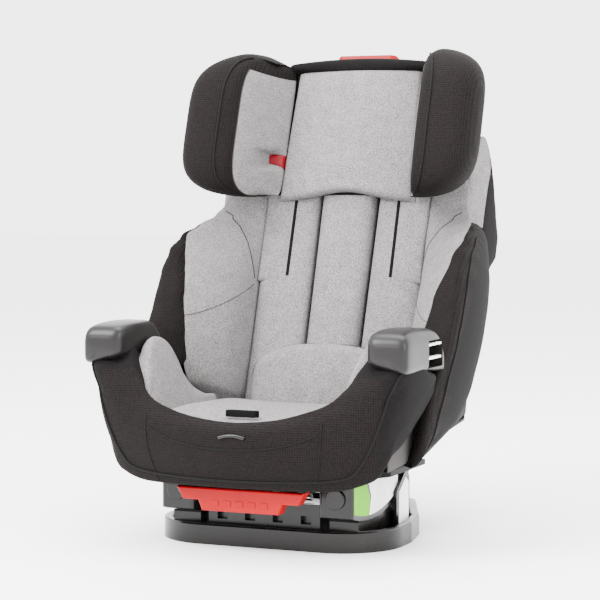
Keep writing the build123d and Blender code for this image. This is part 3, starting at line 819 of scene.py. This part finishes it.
def wing_side(side, hand):
    """Black side of the lower wing, from the fold round to its rear edge."""
    levels = 120
    loops = []
    for i in range(levels + 1):
        v = i / levels
        s = mix(-92, 324, v)
        fold_x, fold_t = at_level(FOLD, s)
        brow_x, brow_t = at_level(BROW, s)
        rear_t = along(SIDE_REAR, s)
        lap = smoothstep(20, 70, s)
        fold_x = mix(brow_x - 20, fold_x - 1, lap)
        fold_t = mix(brow_t - 12, fold_t - 2, lap)
        waist = 8 * smoothstep(40, -92, s)
        ring = [
            (fold_x, fold_t), (mix(fold_x, brow_x, 0.55), mix(fold_t, brow_t, 0.75) + 3), (brow_x, brow_t),
            (brow_x + 1.5, mix(brow_t, rear_t, 0.15)), (brow_x - waist, mix(brow_t, rear_t, 0.45)),
            (brow_x - 7 - waist, mix(brow_t, rear_t, 0.75)), (brow_x - 20 - waist, rear_t + 4),
            (brow_x - 28 - waist, rear_t + 8), (mix(204, brow_x - 30, 0.6), mix(brow_t, rear_t, 0.5)),
        ]
        centre = Vector((brow_x - 14, mix(brow_t, rear_t, 0.4), 0))
        close = max(0.05, edge(2 * v - 1, 22))
        loop = [centre.lerp(p, close) for p in spline_loop([(x, t, 0) for x, t in ring], 96)]
        loops.append([on_back(side * p.x, s, p.y) for p in loop])

    # the front of the side is mesh, up to the piping; the rest is plain knit
    def look(i, j):
        return 0 if j < 22 else 1

    obj = loft(f"wing_side_{hand}", loops, look)
    obj.data.materials.append(GRID)
    obj.data.materials.append(KNIT)
    finish_soft(obj, "seat", [f"wing_cover_{hand}"], KNIT)
    piping = []
    for s in steps(-70, 285, 110):
        x, t = at_level(BROW, s)
        piping.append(on_back(side * (x + 6), s, t - 26))
    tube(f"wing_piping_{hand}", drape(obj, piping, 0.0008), 0.0015, PIPING, "seat")


# (s, front t, t where grey turns black, rear t) of the shoulder beside the headrest
SHOULDER = [
    (236, 2, 0, -20), (252, 16, 4, -42), (270, 26, 5, -64), (300, 32, 5, -92), (327, 35, 5, -93),
    (360, 38, 3, -68), (392, 39, 0, -44), (420, 38, -6, -22), (440, 34, -6, -8), (458, 26, 6, 4),
    (466, 20, 14, 10),
]


def shoulder(side, hand):
    """The shoulder's rounded side: grey in front, black behind."""
    levels = 90
    loops = []
    for i in range(levels + 1):
        v = i / levels
        s = mix(236, 466, v)
        front, turn, rear = (along([(k[0], k[c]) for k in SHOULDER], s) for c in (1, 2, 3))
        close = max(0.05, edge(2 * v - 1, 9))
        bow = 220 - 5 * smoothstep(400, 466, s)
        grey = [(198, front - 3, 0), (204, front + 1, 0), (212, mix(front, turn, 0.25), 0), (bow, turn, 0)]
        black = [
            (bow, turn, 0), (bow + 1, mix(turn, rear, 0.5), 0), (bow - 2, mix(turn, rear, 0.88), 0),
            (208, rear, 0), (203.5, mix(turn, rear, 0.85), 0), (201, mix(turn, rear, 0.3), 0),
            (198, front - 3, 0),
        ]
        outline = spline(grey, 30)[:-1] + spline(black, 60)[:-1]
        centre = Vector((207, mix(front, rear, 0.45), 0))
        loops.append([on_back(side * mix(centre.x, p.x, mix(1, close, 0.7)), s, mix(centre.y, p.y, close))
                      for p in outline])

    obj = loft(f"shoulder_side_{hand}", loops, lambda i, j: 0 if j < 29 and i > levels * 0.36 else 1)
    obj.data.materials.append(HEATHER)
    obj.data.materials.append(KNIT)
    finish_soft(obj, "seat", [f"shoulder_cover_{hand}"], KNIT)


def side_skirt(side, hand):
    """Cloth behind the arch between the front wrap and the lower wing; its dark grey is painted shade on the
    grey cloth.
    """
    def place(u, v, x):
        y = mix(-196, -92, (u + 1) / 2)
        low = mix(122, 128, (u + 1) / 2)
        high = mix(178, 240, (u + 1) / 2)
        return Vector((side * x, y, mix(low, high, (v + 1) / 2))) * MM

    obj = pad(f"side_skirt_{hand}", place, lambda u, v: 203.5 + 2.5 * edge(u, 4) * edge(v, 4), 202.4, 24, 24)
    obj.data.materials.append(SKIRT_IN_SHADE)
    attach(obj, "seat")


for side, hand in SIDES:
    lining(side, hand)
    wing_side(side, hand)
    shoulder(side, hand)
    side_skirt(side, hand)


# ---- the armrests, in rounded moulded plastic
# (y, top z, bottom z, inner x, outer x) from the nose to the rear
ARM = [
    (-249, 300, 268, 203, 243), (-245, 311, 264, 194, 248), (-234, 319, 261, 188, 250),
    (-200, 323, 260, 184, 250), (-160, 323, 260, 183, 250), (-128, 321, 258, 184, 250),
    (-106, 313, 257, 186, 249), (-92, 294, 257, 190, 248), (-84, 270, 257, 200, 245),
]
SOCKET_Y, SOCKET_Z, SOCKET_DEPTH = (-158, -98), (266, 305), 34


def armrest(side, hand):
    """A rounded moulded armrest with a socket in its outer face."""
    loops = []
    rows = [Vector((y, top, bottom)) for y, top, bottom, _, _ in ARM]
    widths = [Vector((y, inner, outer)) for y, _, _, inner, outer in ARM]
    for body, width in zip(spline(rows, 70), spline(widths, 70)):
        loop = []
        floor = body.z + 14 * smoothstep(-84, -150, body.x)
        for k in range(64):
            angle = 2 * pi * k / 64
            c, d = cos(angle), sin(angle)
            across = abs(c) ** 0.42 * (1 if c > 0 else -1)
            upward = abs(d) ** (0.55 if d > 0 else 0.3) * (1 if d > 0 else -1)
            x = mix(width.y, width.z, 0.5 + 0.5 * across)
            low = mix(floor, body.z, 0.5 + 0.5 * across)
            top = body.y - 36 * smoothstep(-150, -104, body.x) * smoothstep(0.5, -0.6, across)
            z = mix(low, max(top, low + 8), 0.5 + 0.5 * upward)
            loop.append(Vector((side * x, body.x, z)) * MM)
        loops.append(loop)
    obj = loft(f"armrest_body_{hand}", loops)
    bpy.ops.mesh.primitive_cube_add(size=1)
    cutter = bpy.context.object
    cutter.scale = (SOCKET_DEPTH * MM * 2, (SOCKET_Y[1] - SOCKET_Y[0]) * MM, (SOCKET_Z[1] - SOCKET_Z[0]) * MM)
    cutter.location = (side * 0.252, sum(SOCKET_Y) / 2 * MM, sum(SOCKET_Z) / 2 * MM)
    bevel = cutter.modifiers.new("round", "BEVEL")
    bevel.width = 0.004
    bevel.segments = 3
    bpy.context.view_layer.update()
    cut = obj.modifiers.new("socket", "BOOLEAN")
    cut.operation = "DIFFERENCE"
    cut.solver = "EXACT"
    cut.object = cutter
    apply_all(obj)
    bpy.data.objects.remove(cutter, do_unlink=True)
    edges = obj.modifiers.new("edges", "EDGE_SPLIT")
    edges.split_angle = radians(40)
    obj.data.materials.clear()
    obj.data.materials.append(CHARCOAL)
    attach(obj, "seat")
    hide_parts(f"armrest_{hand}")


for side, hand in SIDES:
    armrest(side, hand)


# ---- plain labels on one rocker and one cradle wall, and ribs on the handle's grip
def plate(name, outline, x, thick, body, material):
    """A thin flat plate at x, from its (y, z) outline in mm."""
    n = len(outline)
    verts = [Vector((x + dx, y, z)) * MM for dx in (0, thick) for y, z in outline]
    faces = [tuple(range(n)), tuple(range(n, 2 * n))]
    faces += [(i, (i + 1) % n, n + (i + 1) % n, n + i) for i in range(n)]
    obj = new_mesh(name, verts, faces)
    for p in obj.data.polygons:
        p.use_smooth = False
    obj.data.materials.append(material)
    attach(obj, body)


def rocker_arc(y_low, y_high, radius, count=14):
    """Points along an arc about the recline axis, near the rocker's curved underside."""
    y_axis, z_axis = RECLINE_YZ
    return [(y, z_axis - (radius ** 2 - (y - y_axis) ** 2) ** 0.5) for y in steps(y_low, y_high, count)]


LABEL_THICK, ROCKER_FACE, CRADLE_FACE = 0.5, 150.1, 157.1
lime = rocker_arc(-189, -132, 271) + [(-126, 74), (-142, 96), (-189, 98)]
paper = rocker_arc(-130, -14, 271) + [(-14, 106), (-138, 106), (-122, 76)]
plate("rocker_label_lime", lime, ROCKER_FACE, LABEL_THICK, "seat", LIME)
plate("rocker_label_paper", paper, ROCKER_FACE, LABEL_THICK, "seat", PAPER)
cradle_label = [(-26, 22), (14, 22), (14, 80), (2, 88), (-26, 68)]
plate("cradle_label", cradle_label, CRADLE_FACE, LABEL_THICK, "base", PAPER)


RIB_COUNT, RIB_PITCH = 5, 0.019


def grip_ribs():
    """Raised bars across the recline handle."""
    for k in range(RIB_COUNT):
        bpy.ops.mesh.primitive_cube_add(size=1)
        rib = bpy.context.object
        rib.name = f"handle_rib_{k}"
        rib.scale = (0.011, 0.0016, 0.008)
        rib.location = ((k - RIB_COUNT // 2) * RIB_PITCH, -0.2492, 0.073)
        m = rib.modifiers.new("round", "BEVEL")
        m.width = 0.0007
        m.segments = 2
        rib.data.materials.append(CORAL)
        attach(rib, "recline_handle_body")


grip_ribs()


# ------------------------------------------------------------------ stage, light and camera
def stage():
    floor_mat, _, _, _ = shader("floor", (0.93, 0.93, 0.93), 0.7)
    bpy.ops.mesh.primitive_plane_add(size=FLOOR_SIZE)
    floor = bpy.context.object
    floor.name = "floor"
    floor.data.materials.append(floor_mat)
    world = bpy.data.worlds.new("studio")
    world.use_nodes = True
    world.node_tree.nodes["Background"].inputs["Color"].default_value = (1, 1, 1, 1)
    world.node_tree.nodes["Background"].inputs["Strength"].default_value = WORLD_STRENGTH
    bpy.context.scene.world = world
    for name, at, size, power in LIGHTS:
        light = bpy.data.lights.new(name, "AREA")
        light.size = size
        light.energy = power
        obj = bpy.data.objects.new(name, light)
        obj.location = at
        obj.rotation_euler = (Vector((0, 0, 0.35)) - Vector(at)).to_track_quat("-Z", "Y").to_euler()
        bpy.context.scene.collection.objects.link(obj)
    cam = bpy.data.cameras.new("camera")
    cam.lens = CAMERA_LENS
    cam.sensor_width = SENSOR_WIDTH
    obj = bpy.data.objects.new("camera", cam)
    obj.location = CAMERA_AT
    look = Vector(CAMERA_TARGET) - Vector(CAMERA_AT)
    obj.rotation_euler = look.to_track_quat("-Z", "Y").to_euler()
    bpy.context.scene.collection.objects.link(obj)
    bpy.context.scene.camera = obj


stage()
